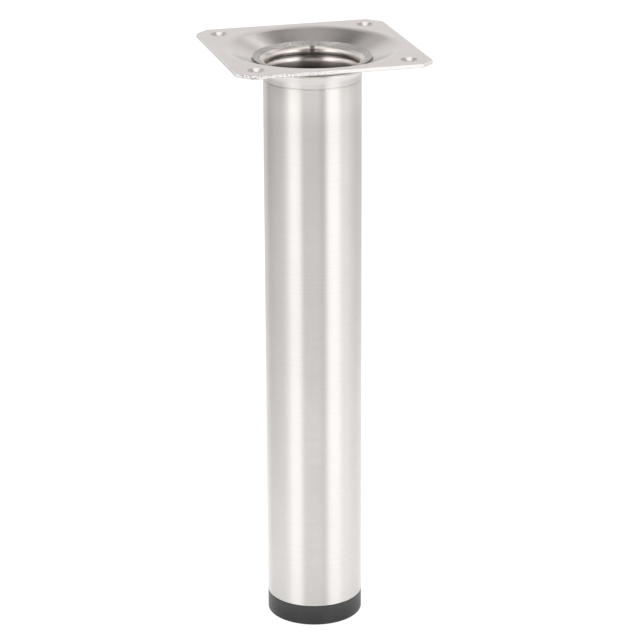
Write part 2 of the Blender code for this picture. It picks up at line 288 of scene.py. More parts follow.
def turned_steel(name, anisotropic, roughness):
    """Steel whose grinding lines run round the leg's axis."""
    material, shader = new_material(name, STEEL_COLOUR, 1.0, roughness)
    tree = material.node_tree
    shader.inputs["Anisotropic"].default_value = anisotropic
    shader.inputs["Anisotropic Rotation"].default_value = 0.25
    round_the_tube = add_node(tree, "ShaderNodeTangent", direction_type="RADIAL", axis="Z")
    tree.links.new(round_the_tube.outputs["Tangent"], shader.inputs["Tangent"])
    return material, shader


def tube_steel():
    material, shader = turned_steel("satin_tube_steel", 1.0, 0.38)
    tree = material.node_tree
    fine_lines = stretched_noise(tree, (50, 50, 5200), detail=2.0)
    broad_lines = stretched_noise(tree, (22, 22, 900), detail=4.0)
    clouds = stretched_noise(tree, (30, 30, 12), detail=2.0)
    speckle = stretched_noise(tree, (2600, 2600, 2600), detail=3.0)
    radius, height = place_parts(tree)
    outside = ramp(tree, radius, FLARE_FROM, FLARE_FULL)
    above = ramp(tree, height, FLARE_LOW - FLARE_BLEND, FLARE_LOW)
    flare = calculate(tree, "MULTIPLY", outside, above)
    # The mark is painted darker, as painted shade in its groove.
    mark_low = ramp(tree, height, MARK_TOP - MARK_WIDTH, MARK_TOP - MARK_WIDTH * 0.6)
    mark_high = ramp(tree, height, MARK_TOP, MARK_TOP - MARK_WIDTH * 0.4)
    mark = calculate(tree, "MULTIPLY", mark_low, mark_high)

    lined = ramp(tree, broad_lines, 0.3, 0.7, 0.37, 0.41)
    brushed = calculate(tree, "ADD", lined, ramp(tree, clouds, 0.3, 0.7, -0.01, 0.02))
    dull = ramp(tree, speckle, 0.38, 0.62, 0.24, 0.55)
    tree.links.new(mix_numbers(tree, flare, brushed, dull), shader.inputs["Roughness"])

    tone = mix_colours(tree, ramp(tree, broad_lines, 0.25, 0.75), *BRUSHED_TONES)
    # Painted light: the tube is paler near its top, standing in for the plate's underside reflected there.
    tone = mix_colours(tree, ramp(tree, height, TOP_LIGHT_FROM, TOP_LIGHT_FULL), tone, TOP_LIGHT_TONE)
    pits_and_shade = calculate(tree, "MULTIPLY", flare, ramp(tree, speckle, 0.42, 0.56, 1.0, 0.0))
    # Pits on the flare and the weld's burnt line are marks of the steel. The mark's darkening is painted
    # shade.
    for mask in (weld_mark(tree), mark):
        pits_and_shade = calculate(tree, "MAXIMUM", pits_and_shade, calculate(tree, "MULTIPLY", mask, 0.35))
    tree.links.new(mix_colours(tree, pits_and_shade, tone, PIT_AND_SHADE_TONE), shader.inputs["Base Color"])

    lines = bump(tree, 0.15, 0.00002, fine_lines)
    grit = bump(tree, 0.6, 0.0001, calculate(tree, "MULTIPLY", flare, speckle), lines)
    tree.links.new(grit, shader.inputs["Normal"])
    return material


TUBE_STEEL = tube_steel()
print("material:", TUBE_STEEL.name)

# %% [markdown]
# ## Burnished steel for the throat
# The tool that folds the tube rubs its throat, so the steel there is smoother and shows wider rings of
# light and dark. It is a second material and not a mask, because anisotropy has to be one number for the
# whole surface. The steel there is seen by way of its own reflections, so its tone is painted warmer, as a
# painted reflection. Deeper in the bore it is rougher, and its tone is painted dark, as painted shade
# inside the tube. The weld is burnt brown.

# %% Make the throat's steel
THROAT_REFLECTION_TONE = (0.65, 0.60, 0.565)
BORE_SHADE_TONE = (0.15, 0.127, 0.113)
BURNT_TONE = (0.17, 0.15, 0.14)


def throat_steel():
    material, shader = turned_steel("burnished_throat_steel", 0.75, 0.3)
    tree = material.node_tree
    streaks = stretched_noise(tree, (60, 60, 2200), detail=2.0)
    height = place_parts(tree)[1]
    deep = ramp(tree, height, BORE_BRIGHT_TO, BORE_DARK_FROM)
    rubbed = ramp(tree, streaks, 0.3, 0.7, 0.28, 0.32)
    polish = calculate(tree, "ADD", rubbed, calculate(tree, "MULTIPLY", deep, 0.12))
    tree.links.new(polish, shader.inputs["Roughness"])
    # Painted shade: the bore goes dark with depth. The warmer throat tone is a painted reflection tint.
    tone = mix_colours(tree, deep, THROAT_REFLECTION_TONE, BORE_SHADE_TONE)
    tree.links.new(mix_colours(tree, weld_mark(tree), tone, BURNT_TONE), shader.inputs["Base Color"])
    tree.links.new(bump(tree, 0.12, 0.00002, streaks), shader.inputs["Normal"])
    return material


THROAT_STEEL = throat_steel()
print("material:", THROAT_STEEL.name)

# %% [markdown]
# ## Rolled steel for the plate
# The plate is cut from rolled stainless sheet, which is satin but not brushed, and then pressed. Its grain
# is noise that is long one way and short the other two. Pressing stretches the dish's wall and mottles it,
# so a mask by the distance from the axis brings that in. The underside is duller than the upper face, and
# its tone is painted paler, as painted light from the bright floor that it reflects. Geometry's normal
# tells the two apart without a second material.

# %% Make the plate's steel
PLATE_COLOUR = (0.585, 0.542, 0.525)
PLATE_TONES = (0.565, 0.523, 0.507), (0.605, 0.561, 0.543)
UNDERSIDE_LIGHT_TONE = (0.80, 0.765, 0.745)
DRAWN_FROM, DRAWN_FULL = 0.047, 0.038


def plate_steel():
    material, shader = new_material("satin_plate_steel", PLATE_COLOUR, 1.0, 0.24)
    tree = material.node_tree
    grain = stretched_noise(tree, (260, 2600, 2600), detail=3.0)
    mottle = stretched_noise(tree, (420, 420, 420), detail=4.0)
    clouds = stretched_noise(tree, (45, 45, 45), detail=2.0)
    radius = place_parts(tree)[0]
    drawn = ramp(tree, radius, DRAWN_FROM, DRAWN_FULL)
    surface = add_node(tree, "ShaderNodeNewGeometry")
    facing = add_node(tree, "ShaderNodeSeparateXYZ", {0: surface.outputs["Normal"]})
    underside = ramp(tree, facing.outputs["Z"], -0.1, -0.5)

    finish = ramp(tree, clouds, 0.3, 0.7, 0.21, 0.25)
    stretched = calculate(tree, "MULTIPLY", drawn, ramp(tree, mottle, 0.3, 0.7, 0.0, 0.015))
    finish = calculate(tree, "ADD", finish, stretched)
    finish = calculate(tree, "ADD", finish, calculate(tree, "MULTIPLY", underside, 0.1))
    tree.links.new(finish, shader.inputs["Roughness"])

    tone = mix_colours(tree, ramp(tree, grain, 0.25, 0.75), *PLATE_TONES)
    # Painted light: the underside's paler tone stands in for the bright floor that it reflects.
    tree.links.new(mix_colours(tree, underside, tone, UNDERSIDE_LIGHT_TONE), shader.inputs["Base Color"])

    skin = bump(tree, 0.12, 0.00002, grain)
    peel = bump(tree, 0.03, 0.00005, calculate(tree, "MULTIPLY", drawn, mottle), skin)
    tree.links.new(peel, shader.inputs["Normal"])
    return material


PLATE_STEEL = plate_steel()
print("material:", PLATE_STEEL.name)

# %% [markdown]
# ## The plate's sheared edge
# The cut edge is another surface: the shear polishes it near the top and tears it below. Its lowest strip
# is painted darker, as painted shade at the bottom corner. On this plate the near edge's left half is torn
# and full of pits, and the rest is clean, so that half is masked by its place. The material is given to the
# edge's faces.

# %% Make the sheared edge
SHEARED_COLOUR = (0.82, 0.80, 0.785)
EDGE_PIT_AND_SHADE_TONE = (0.20, 0.19, 0.18)
# The lowest strip of the cut edge is painted darker, as painted shade at its bottom corner.
BOTTOM_SHADE_TOP = LEG_HEIGHT - 0.0015
BOTTOM_SHADE_BLEND = 0.0002
TORN_FROM_X, TORN_FULL_X = 0.01, -0.015
NEAR_FROM_Y, NEAR_FULL_Y = -0.042, -0.046


def sheared_steel():
    material, shader = new_material("sheared_steel_edge", SHEARED_COLOUR, 1.0, 0.4)
    tree = material.node_tree
    tears = stretched_noise(tree, (1500, 1500, 500), detail=3.0)
    pits = stretched_noise(tree, (1500, 1500, 1500), detail=2.0)
    place = add_node(tree, "ShaderNodeTexCoord")
    parts = add_node(tree, "ShaderNodeSeparateXYZ", {0: place.outputs["Object"]})
    left_half = ramp(tree, parts.outputs["X"], TORN_FROM_X, TORN_FULL_X)
    near_edge = ramp(tree, parts.outputs["Y"], NEAR_FROM_Y, NEAR_FULL_Y)
    torn = calculate(tree, "MULTIPLY", left_half, near_edge)

    tree.links.new(ramp(tree, tears, 0.3, 0.7, 0.35, 0.6), shader.inputs["Roughness"])
    edge_pits_and_shade = calculate(tree, "MULTIPLY", torn, ramp(tree, pits, 0.46, 0.40))
    # Painted shade: the lowest strip of the edge goes half way to the dark tone, and pits on the torn half
    # add to it.
    bottom_shade = ramp(tree, parts.outputs["Z"], BOTTOM_SHADE_TOP, BOTTOM_SHADE_TOP - BOTTOM_SHADE_BLEND, 0.0, 0.5)
    edge_pits_and_shade = calculate(tree, "MAXIMUM", edge_pits_and_shade, bottom_shade)
    tree.links.new(mix_colours(tree, edge_pits_and_shade, SHEARED_COLOUR, EDGE_PIT_AND_SHADE_TONE), shader.inputs["Base Color"])
    rough = bump(tree, 0.35, 0.0001, calculate(tree, "MULTIPLY", torn, tears))
    tree.links.new(rough, shader.inputs["Normal"])
    return material


SHEARED_STEEL = sheared_steel()
print("material:", SHEARED_STEEL.name)

# %% [markdown]
# ## Zinc plating
# The stud and the nut are plated steel: pale, dull and faintly clouded. One noise drives both the
# roughness and the tone, so the duller places are also the ones that look different.

# %% Make the zinc
ZINC_TONES = (0.54, 0.54, 0.52), (0.64, 0.64, 0.63)


def zinc_steel():
    material, shader = new_material("zinc_plated_steel", (0.60, 0.60, 0.585), 1.0, 0.38)
    tree = material.node_tree
    clouds = stretched_noise(tree, (240, 240, 240), detail=4.0)
    tree.links.new(ramp(tree, clouds, 0.3, 0.7, 0.30, 0.48), shader.inputs["Roughness"])
    tone = mix_colours(tree, ramp(tree, clouds, 0.3, 0.7), *ZINC_TONES)
    tree.links.new(tone, shader.inputs["Base Color"])
    return material


ZINC_STEEL = zinc_steel()
print("material:", ZINC_STEEL.name)

# %% [markdown]
# ## Moulded black plastic
# The foot and the plug are moulded. A mould leaves a fine even texture, so the plastic gets a small bump
# that is the same in every direction, and a roughness that wanders a little where it has been handled.

# %% Make the plastic
PLASTIC_COLOUR = (0.02, 0.0195, 0.0205)
PLASTIC_TONES = (0.017, 0.0165, 0.0175), (0.025, 0.0245, 0.0255)


def moulded_plastic():
    material, shader = new_material("moulded_black_plastic", PLASTIC_COLOUR, 0.0, 0.36)
    tree = material.node_tree
    grain = stretched_noise(tree, (2400, 2400, 2400), detail=2.0)
    clouds = stretched_noise(tree, (70, 70, 70), detail=3.0)
    tree.links.new(ramp(tree, clouds, 0.3, 0.7, 0.32, 0.42), shader.inputs["Roughness"])
    tone = mix_colours(tree, ramp(tree, clouds, 0.3, 0.7), *PLASTIC_TONES)
    tree.links.new(tone, shader.inputs["Base Color"])
    tree.links.new(bump(tree, 0.25, 0.00003, grain), shader.inputs["Normal"])
    return material


BLACK_PLASTIC = moulded_plastic()
print("material:", BLACK_PLASTIC.name)

# %% [markdown]
# ## Rings make every round piece
# A turned shape could be a profile with a Screw modifier. Here each profile point becomes a ring of
# vertices instead, and rings are joined by faces, because a ring can then be changed before it is joined:
# it can be square, torn or dented. The profile runs round the section, so the last ring joins the first.

# %% Join rings into a closed mesh
SHARP_ANGLE = 30


def join_rings(shape, rings, closed=True):
    """Faces between neighbouring rings of the same count. A ring of one vertex is a pole."""
    pairs = list(zip(rings, rings[1:]))
    if closed:
        pairs.append((rings[-1], rings[0]))
    faces = []
    for first, second in pairs:
        strip = []
        count = max(len(first), len(second))
        for i in range(count):
            j = (i + 1) % count
            if len(first) == 1:
                corners = (first[0], second[i], second[j])
            elif len(second) == 1:
                corners = (first[i], second[0], first[j])
            else:
                corners = (first[i], second[i], second[j], first[j])
            strip.append(shape.faces.new(corners))
        faces.append(strip)
    return faces


def finish_piece(name, shape, materials, body, sharp_angle=SHARP_ANGLE):
    """Turn a bmesh into a smooth-shaded object that rides on a body."""
    bmesh.ops.recalc_face_normals(shape, faces=shape.faces)
    mesh = bpy.data.meshes.new(name)
    shape.to_mesh(mesh)
    shape.free()
    for material in materials:
        mesh.materials.append(material)
    mesh.shade_smooth()
    mesh.set_sharp_from_angle(angle=math.radians(sharp_angle))
    piece = bpy.data.objects.new(name, mesh)
    bpy.context.scene.collection.objects.link(piece)
    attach(piece, body)
    return piece


def circle(shape, radius, height, steps):
    """A ring of vertices round the Z axis."""
    if radius == 0:
        return [shape.verts.new((0, 0, height))]
    angles = [math.tau * i / steps for i in range(steps)]
    return [shape.verts.new((radius * math.cos(a), radius * math.sin(a), height)) for a in angles]


def polar(centre, distance, angle):
    """The point at a distance and an angle from a centre, in the (radius, height) plane."""
    return (centre[0] + distance * math.cos(angle), centre[1] + distance * math.sin(angle))


def arc(centre, radius, start, end, segments):
    """Points on an arc in the (radius, height) plane."""
    return [polar(centre, radius, start + (end - start) * i / segments) for i in range(segments + 1)]


print("helpers for meshes: join_rings, finish_piece, circle, polar, arc")

# %% [markdown]
# ## The seat that locks tube and plate
# On the real leg the tube is locked to the plate without a weld. The tube's wall is squashed outwards
# into a bead under the plate's conical seat, passes through the hole as a neck, and is flared over the
# seat. The cone slopes at 22 degrees and guides both the flare and the bead, so its sizes come first,
# and the rest is measured from it. The solids keep a gap of 0.3 mm on both sides of the plate. Above it
# the flare keeps that gap here too. Under it 0.3 mm would show as a light line, so the gap is 0.1 mm.

# %% Sizes of the tube and the seat
TUBE_RADIUS = 0.025
TUBE_WALL = 0.0007
SEAT_GAP = 0.0003
SEAT_ANGLE = math.radians(22)
PLATE_SIDE = 0.100
PLATE_THICKNESS = 0.0018
PLATE_CORNER_CUT = 0.007
PLATE_HOLE_RADIUS = 0.025
DISH_RADIUS = 0.0461
SHOULDER_RADIUS = 0.012
SEAT_WIDTH = DISH_RADIUS - PLATE_HOLE_RADIUS - SHOULDER_RADIUS * math.sin(SEAT_ANGLE)
SEAT_HEIGHT = LEG_HEIGHT - SHOULDER_RADIUS * (1 - math.cos(SEAT_ANGLE)) - SEAT_WIDTH * math.tan(SEAT_ANGLE)
TUBE_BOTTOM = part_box("leg_tube")[0].z


def along_seat(offset, radius):
    """The point at this radius on a line that lies offset above the plate's conical seat."""
    rise = (radius - PLATE_HOLE_RADIUS) * math.tan(SEAT_ANGLE)
    return (radius, SEAT_HEIGHT + rise + offset / math.cos(SEAT_ANGLE))


print("seat at", round(SEAT_HEIGHT, 5), "tube from", round(TUBE_BOTTOM, 5))

# %% [markdown]
# ## The middle of the tube's wall
# The folded end could be sculpted from a cylinder, but then its sizes would drift. Instead the middle of
# the wall is drawn as a path, from the flare's rim down to the tube's lower end. Each bend of it has a
# corner, a direction in, a direction out and a radius, as a toolmaker would give it. Only the fold of the
# bead is a plain half circle.

# %% Draw the path
NECK_RADIUS = 0.0245
THROAT_RADIUS = 0.0017
FLARE_OVERHANG = 0.0052
BEAD_GAP = 0.0001
BEAD_OVERHANG = 0.0042
BEAD_SLOT = 0.0002
BEAD_NECK_RADIUS = 0.0003
BEAD_ROOT_RADIUS = 0.0042
RIM_STEP = 0.0012
RIM_RINGS = 4
BEND_SEGMENTS = 12
BEAD_NECK_SEGMENTS = 10
RIM_RADIUS = TUBE_RADIUS + FLARE_OVERHANG


def bend(path, corner, direction_in, direction_out, radius, segments=BEND_SEGMENTS):
    """Add a rounded corner to a path of (point, direction) pairs."""
    turn = math.remainder(direction_out - direction_in, math.tau)
    side = math.copysign(math.pi / 2, turn)
    start = polar(corner, -radius * math.tan(abs(turn) / 2), direction_in)
    centre = polar(start, radius, direction_in + side)
    for i in range(segments + 1):
        direction = direction_in + turn * i / segments
        path.append((polar(centre, -radius, direction + side), direction))


def wall_path():
    """From the flare's rim down to the tube's lower end."""
    down, out_up, in_down = -math.pi / 2, SEAT_ANGLE, SEAT_ANGLE - math.pi
    half = TUBE_WALL / 2
    flare = SEAT_GAP + half
    upper_flank = -PLATE_THICKNESS - BEAD_GAP - half
    lower_flank = upper_flank - TUBE_WALL - BEAD_SLOT
    neck, body = NECK_RADIUS - half, TUBE_RADIUS - half
    path = [(along_seat(flare, RIM_RADIUS - RIM_STEP * i), in_down) for i in range(RIM_RINGS)]
    bend(path, along_seat(flare, neck), in_down, down, THROAT_RADIUS + half)
    root = along_seat(upper_flank, neck)
    bend(path, root, down, out_up, BEAD_NECK_RADIUS + half, BEAD_NECK_SEGMENTS)
    fold = (TUBE_WALL + BEAD_SLOT) / 2
    middle = along_seat((upper_flank + lower_flank) / 2, TUBE_RADIUS + BEAD_OVERHANG - fold - half)
    for i in range(BEND_SEGMENTS + 1):
        direction = out_up - math.pi * i / BEND_SEGMENTS
        path.append((polar(middle, fold, direction + math.pi / 2), direction))
    bend(path, along_seat(lower_flank, body), in_down, down, BEAD_ROOT_RADIUS + half)
    path.append(((body, TUBE_BOTTOM), down))
    return path


print("points on the path:", len(wall_path()))

# %% [markdown]
# ## The tube
# The wall is the same thickness everywhere, so its two faces are the path moved half a wall to each
# side. The roller's mark is cut into the outer one. The pressed rim is torn a little, and the tube's own
# weld line opens as a small nick where it crosses the flare, so those rings are moved by noise and by a
# narrow groove after they are joined. The faces inside the throat take the burnished steel.

# %% Set the wall off and join it
TUBE_STEPS = 288
MARK_STEPS = 8
NICK_WIDTH = 0.0010
NICK_DEPTH = 0.00045
NECK_INSIDE = NECK_RADIUS - TUBE_WALL * 1.5
THROAT_EDGE = 0.0254
TEAR_SCALE = 900
TEAR_DEPTH = 0.00008
TEAR_WIDTH = 0.0012


def wall_faces():
    """The (radius, height) points of the wall's outer and inner face, from the rim down."""
    outer, inner = [], []
    for middle, direction in wall_path():
        outer.append(polar(middle, TUBE_WALL / 2, direction + math.pi / 2))
        inner.append(polar(middle, -TUBE_WALL / 2, direction + math.pi / 2))
    mark = []
    for i in range(MARK_STEPS + 1):
        depth = MARK_DEPTH * (0.5 - 0.5 * math.cos(math.tau * i / MARK_STEPS))
        mark.append((TUBE_RADIUS - depth, MARK_TOP - MARK_WIDTH * i / MARK_STEPS))
    outer[-1:-1] = mark
    return outer, inner


def wear_the_rim(shape):
    """Tear the flare's rim a little and press the weld's nick into it."""
    for vert in shape.verts:
        radius = math.hypot(vert.co.x, vert.co.y)
        if vert.co.z < SEAT_HEIGHT or radius < NECK_INSIDE:
            continue
        near_rim = max(0.0, 1 - (RIM_RADIUS - radius) / TEAR_WIDTH)
        torn = noise.noise(vert.co * TEAR_SCALE) * TEAR_DEPTH * near_rim
        angle = math.atan2(vert.co.y, vert.co.x) - WELD_ANGLE
        across = abs(math.remainder(angle, math.tau)) * radius
        groove = NICK_DEPTH * max(0.0, 1 - (across / NICK_WIDTH) ** 2)
        on_top = vert.co.z > along_seat(0, radius)[1] + TUBE_WALL
        push = groove if on_top and radius < THROAT_EDGE else 0.0
        scale = (radius - abs(torn) + push) / radius
        vert.co.x *= scale
        vert.co.y *= scale
        if on_top:
            vert.co.z -= groove


def steel_tube():
    outer, inner = wall_faces()
    section = outer + inner[::-1]
    shape = bmesh.new()
    strips = join_rings(shape, [circle(shape, x, z, TUBE_STEPS) for x, z in section])
    for strip, (radius, height) in list(zip(strips, section))[len(outer):]:
        if radius < THROAT_EDGE:
            for face in strip:
                face.material_index = 1
    wear_the_rim(shape)
    return finish_piece("steel_tube", shape, [TUBE_STEEL, THROAT_STEEL], "leg")


tube = steel_tube()
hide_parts("leg_tube")
print("tube faces:", len(tube.data.polygons))

# %% [markdown]
# ## The outlines of the plate
# The plate is one sheet: flat at the rim, then a wide shoulder that rolls down into a cone, and a hole.
# Its corners are cut off straight. Inside the dish a ring of vertices is a circle, and outside it is the
# square outline, so the square one is made first, and the circles later take their directions from it.
# Both then have the same number of points, and they join without a seam.

# %% Rings of the plate
SIDE_SEGMENTS = 40
CORNER_SEGMENTS = 12
SHOULDER_SEGMENTS = 20
CONE_RINGS = 12


def square_ring(inset):
    """The square outline with its corners cut off, moved in by inset, as (x, y) points."""
    half = PLATE_SIDE / 2 - inset
    cut = PLATE_CORNER_CUT - inset * (2 - math.sqrt(2))
    middle = half - cut
    corner_angle = math.atan2(middle, half)
    quarter = []
    for i in range(1, SIDE_SEGMENTS):
        angle = -corner_angle + 2 * corner_angle * i / SIDE_SEGMENTS
        quarter.append((half, half * math.tan(angle)))
    for i in range(CORNER_SEGMENTS + 1):
        quarter.append((half - cut * i / CORNER_SEGMENTS, middle + cut * i / CORNER_SEGMENTS))
    ring = []
    for turn in range(4):
        c, s = math.cos(turn * math.pi / 2), math.sin(turn * math.pi / 2)
        ring += [(c * x - s * y, s * x + c * y) for x, y in quarter]
    return ring


def dish_section():
    """Upper and lower (radius, height) points from the hole to the dish's edge."""
    centre = (DISH_RADIUS, LEG_HEIGHT - SHOULDER_RADIUS)
    start, end = math.pi / 2 + SEAT_ANGLE, math.pi / 2
    upper = arc(centre, SHOULDER_RADIUS, start, end, SHOULDER_SEGMENTS)
    lower = arc(centre, SHOULDER_RADIUS - PLATE_THICKNESS, start, end, SHOULDER_SEGMENTS)
    cone = [along_seat(0, PLATE_HOLE_RADIUS + SEAT_WIDTH * i / CONE_RINGS) for i in range(CONE_RINGS)]
    under = [polar(point, PLATE_THICKNESS, SEAT_ANGLE - math.pi / 2) for point in cone]
    return cone + upper, under + lower


print("points on the outline:", len(square_ring(0)))

# %% [markdown]
# ## The pressed plate
# A modifier could thicken a thin surface, but the cut edge needs its own shape, so the section is drawn
# as a whole: the upper face out to the edge, a rolled-over corner, the cut face, and back underneath.
# The shear bites the cut face unevenly, so its vertices move in by a little noise. Its faces take the
# sheared steel.

# %% Join the plate
FLAT_START = DISH_RADIUS + 0.0003
ROLL_OVER = 0.00025
ROLL_MARGIN = ROLL_OVER * 2.2
ROLL_SEGMENTS = 5
CUT_SEGMENTS = 6
EDGE_BITE = 0.00005
BITE_SCALE = (900, 900, 500)


def pressed_plate():
    outline = square_ring(0)
    angles = [math.atan2(y, x) for x, y in outline]
    shape = bmesh.new()

    def round_ring(radius, height):
        return [shape.verts.new((radius * math.cos(a), radius * math.sin(a), height)) for a in angles]

    def edge_ring(inset, height):
        return [shape.verts.new((x, y, height)) for x, y in square_ring(inset)]

    top, bottom = LEG_HEIGHT, LEG_HEIGHT - PLATE_THICKNESS
    upper, under = dish_section()
    rings = [round_ring(r, z) for r, z in upper]
    rings.append(round_ring(FLAT_START, top))
    rings.append(edge_ring(ROLL_MARGIN, top))
    first_edge = len(rings)
    for i in range(ROLL_SEGMENTS + 1):
        angle = math.pi / 2 * i / ROLL_SEGMENTS
        rings.append(edge_ring(ROLL_OVER * (1 - math.sin(angle)), top - ROLL_OVER * (1 - math.cos(angle))))
    for i in range(1, CUT_SEGMENTS + 1):
        rings.append(edge_ring(0, top - ROLL_OVER + (bottom - top + ROLL_OVER) * i / CUT_SEGMENTS))
    last_edge = len(rings)
    rings.append(edge_ring(ROLL_OVER, bottom))
    rings.append(round_ring(FLAT_START, bottom))
    rings += [round_ring(r, z) for r, z in under[::-1]]
    strips = join_rings(shape, rings)
    for strip in strips[first_edge:last_edge - 1]:
        for face in strip:
            face.material_index = 1
    for ring in rings[first_edge + 1:last_edge]:
        for vert in ring:
            bite = EDGE_BITE * abs(noise.noise(vert.co * Vector(BITE_SCALE)))
            vert.co.x -= math.copysign(bite, vert.co.x)
            vert.co.y -= math.copysign(bite, vert.co.y)
    return finish_piece("pressed_plate", shape, [PLATE_STEEL, SHEARED_STEEL], "leg")


plate = pressed_plate()
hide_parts("mounting_plate")
print("plate faces:", len(plate.data.polygons))

# %% [markdown]
# ## The screw holes
# Each screw hole has a countersink for the screw's head. A drill is a turned solid, and an exact Boolean
# cuts it out. The cut is applied at once, so that the drills can be thrown away.

# %% Drill the screw holes
HOLE_INSET = 0.011
HOLE_RADIUS = 0.0025
SINK_RADIUS = 0.0045
SINK_DEPTH = 0.0014
HOLE_STEPS = 56
CUT_SPARE = 0.001


def drill(x, y):
    """A countersink drill standing over (x, y)."""
    slope = (SINK_RADIUS - HOLE_RADIUS) / SINK_DEPTH
    profile = [
        (0, CUT_SPARE),
        (SINK_RADIUS + slope * CUT_SPARE, CUT_SPARE),
        (HOLE_RADIUS, -SINK_DEPTH),
        (HOLE_RADIUS, -PLATE_THICKNESS - CUT_SPARE),
        (0, -PLATE_THICKNESS - CUT_SPARE),
    ]
    shape = bmesh.new()
    join_rings(shape, [circle(shape, r, z, HOLE_STEPS) for r, z in profile], closed=False)
    bmesh.ops.recalc_face_normals(shape, faces=shape.faces)
    mesh = bpy.data.meshes.new("drill")
    shape.to_mesh(mesh)
    shape.free()
    tool = bpy.data.objects.new("drill", mesh)
    bpy.context.scene.collection.objects.link(tool)
    tool.location = (x, y, LEG_HEIGHT)
    return tool


def combine(piece, tools, operation):
    """Cut or join tools into a piece for good, and remove them."""
    for tool in tools:
        step = piece.modifiers.new("step", "BOOLEAN")
        step.operation = operation
        step.object = tool
    bpy.context.view_layer.update()
    evaluated = piece.evaluated_get(bpy.context.evaluated_depsgraph_get())
    mesh = bpy.data.meshes.new_from_object(evaluated)
    piece.modifiers.clear()
    mesh.name = piece.name
    piece.data = mesh
    for tool in tools:
        bpy.data.objects.remove(tool, do_unlink=True)
    mesh.set_sharp_from_angle(angle=math.radians(SHARP_ANGLE))


reach = PLATE_SIDE / 2 - HOLE_INSET
combine(plate, [drill(x, y) for x in (-reach, reach) for y in (-reach, reach)], "DIFFERENCE")
print("plate faces after drilling:", len(plate.data.polygons))

# %% [markdown]
# ## The foot
# The foot is a shallow moulded cup with a boss in the middle, which is closed in over the stud's head.
# Moulded edges are never sharp, so the profile has small round corners, which catch a thin line of light.
# The profile starts in the recess for the stud's head, runs over the boss and the rim, and ends in the
# middle of the underside. A few extra rings lie on the straight stretches.

# %% Turn the foot
FOOT_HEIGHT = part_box("foot")[1].z
FOOT_BASE = 0.0034
FOOT_RIM_WALL = 0.003
FOOT_BOSS_RADIUS = 0.012
FOOT_EDGE = 0.0008
FOOT_TOP_EDGE = 0.0003
FOOT_SIDE_HEIGHTS = (0.0075, 0.004)
FOOT_BASE_INSETS = (0.003, 0.012)
STUD_RADIUS = 0.005
STUD_HEAD_RADIUS = 0.009
STUD_HEAD_HEIGHT = 0.003
MOULD_EDGE = 0.0003
MOULD_FILLET = 0.0005
FOOT_STEPS = 192


def moulded_foot():
    rim = TUBE_RADIUS
    head = STUD_HEAD_RADIUS + SEAT_GAP
    bore = STUD_RADIUS + SEAT_GAP
    head_top = FOOT_BASE + SEAT_GAP + STUD_HEAD_HEIGHT + SEAT_GAP
    profile = [(0, FOOT_BASE), (head, FOOT_BASE), (head, head_top), (bore, head_top), (bore, FOOT_HEIGHT)]
    edge, fillet, floor_level = MOULD_EDGE, MOULD_FILLET, FOOT_BASE + MOULD_FILLET
    profile += arc((FOOT_BOSS_RADIUS - edge, FOOT_HEIGHT - edge), edge, math.pi / 2, 0, 3)
    profile += arc((FOOT_BOSS_RADIUS + fillet, floor_level), fillet, math.pi, 1.5 * math.pi, 3)
    inside = rim - FOOT_RIM_WALL
    profile += arc((inside - fillet, floor_level), fillet, -math.pi / 2, 0, 3)
    profile += arc((inside + edge, FOOT_HEIGHT - edge), edge, math.pi, math.pi / 2, 3)
    profile += arc((rim - FOOT_TOP_EDGE, FOOT_HEIGHT - FOOT_TOP_EDGE), FOOT_TOP_EDGE, math.pi / 2, 0, 4)
    profile += [(rim, height) for height in FOOT_SIDE_HEIGHTS]
    profile += arc((rim - FOOT_EDGE, FOOT_EDGE), FOOT_EDGE, 0, -math.pi / 2, 6)
    profile += [(rim - inset, 0) for inset in FOOT_BASE_INSETS] + [(0, 0)]
    shape = bmesh.new()
    join_rings(shape, [circle(shape, r, z, FOOT_STEPS) for r, z in profile], closed=False)
    return finish_piece("moulded_foot", shape, [BLACK_PLASTIC], "foot")


foot = moulded_foot()
print("foot faces:", len(foot.data.polygons))

# %% [markdown]
# ## The foot's ribs
# Six straight ribs stiffen the cup, and show when the foot is wound down. A rib is a bevelled bar that
# sinks a little into the boss, the rim and the base, and a Boolean joins it to them, so that no face is
# left hidden inside.

# %% Join the ribs to the foot
RIB_WIDTH = 0.002
RIB_COUNT = 6
RIB_EDGE = 0.0002
RIB_SINK = 0.0008
RIB_DROP = 0.0015


def rib(turn, low, high, start, end):
    """One straight rib, from start to end along its own direction."""
    shape = bmesh.new()
    bmesh.ops.create_cube(shape, size=1)
    bmesh.ops.scale(shape, vec=(end - start, RIB_WIDTH, high - low), verts=shape.verts)
    bmesh.ops.bevel(shape, geom=shape.edges[:], offset=RIB_EDGE, segments=2, affect="EDGES")
    bmesh.ops.translate(shape, vec=((start + end) / 2, 0, (low + high) / 2), verts=shape.verts)
    mesh = bpy.data.meshes.new("rib")
    shape.to_mesh(mesh)
    shape.free()
    tool = bpy.data.objects.new("rib", mesh)
    bpy.context.scene.collection.objects.link(tool)
    tool.rotation_euler.z = turn
    return tool


ribs = [
    rib(
        math.tau * (i + 0.5) / RIB_COUNT,
        FOOT_BASE - RIB_SINK,
        FOOT_HEIGHT - RIB_DROP,
        FOOT_BOSS_RADIUS - RIB_SINK,
        TUBE_RADIUS - FOOT_RIM_WALL + RIB_SINK,
    )
    for i in range(RIB_COUNT)
]
combine(foot, ribs, "UNION")
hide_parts("foot")
print("foot faces with ribs:", len(foot.data.polygons))

# %% [markdown]
# ## The levelling stud
# The stud only shows when the foot is wound down, but then its thread is what one looks at. A thread can
# be swept along a helix, and its ends are then hard to close. A simpler way keeps rings of vertices and
# changes each vertex's distance from the axis: a wave that climbs one pitch in each turn is a thread,
# and it can fade out at the ends. The head stays a plain disc with round edges, held in the foot.

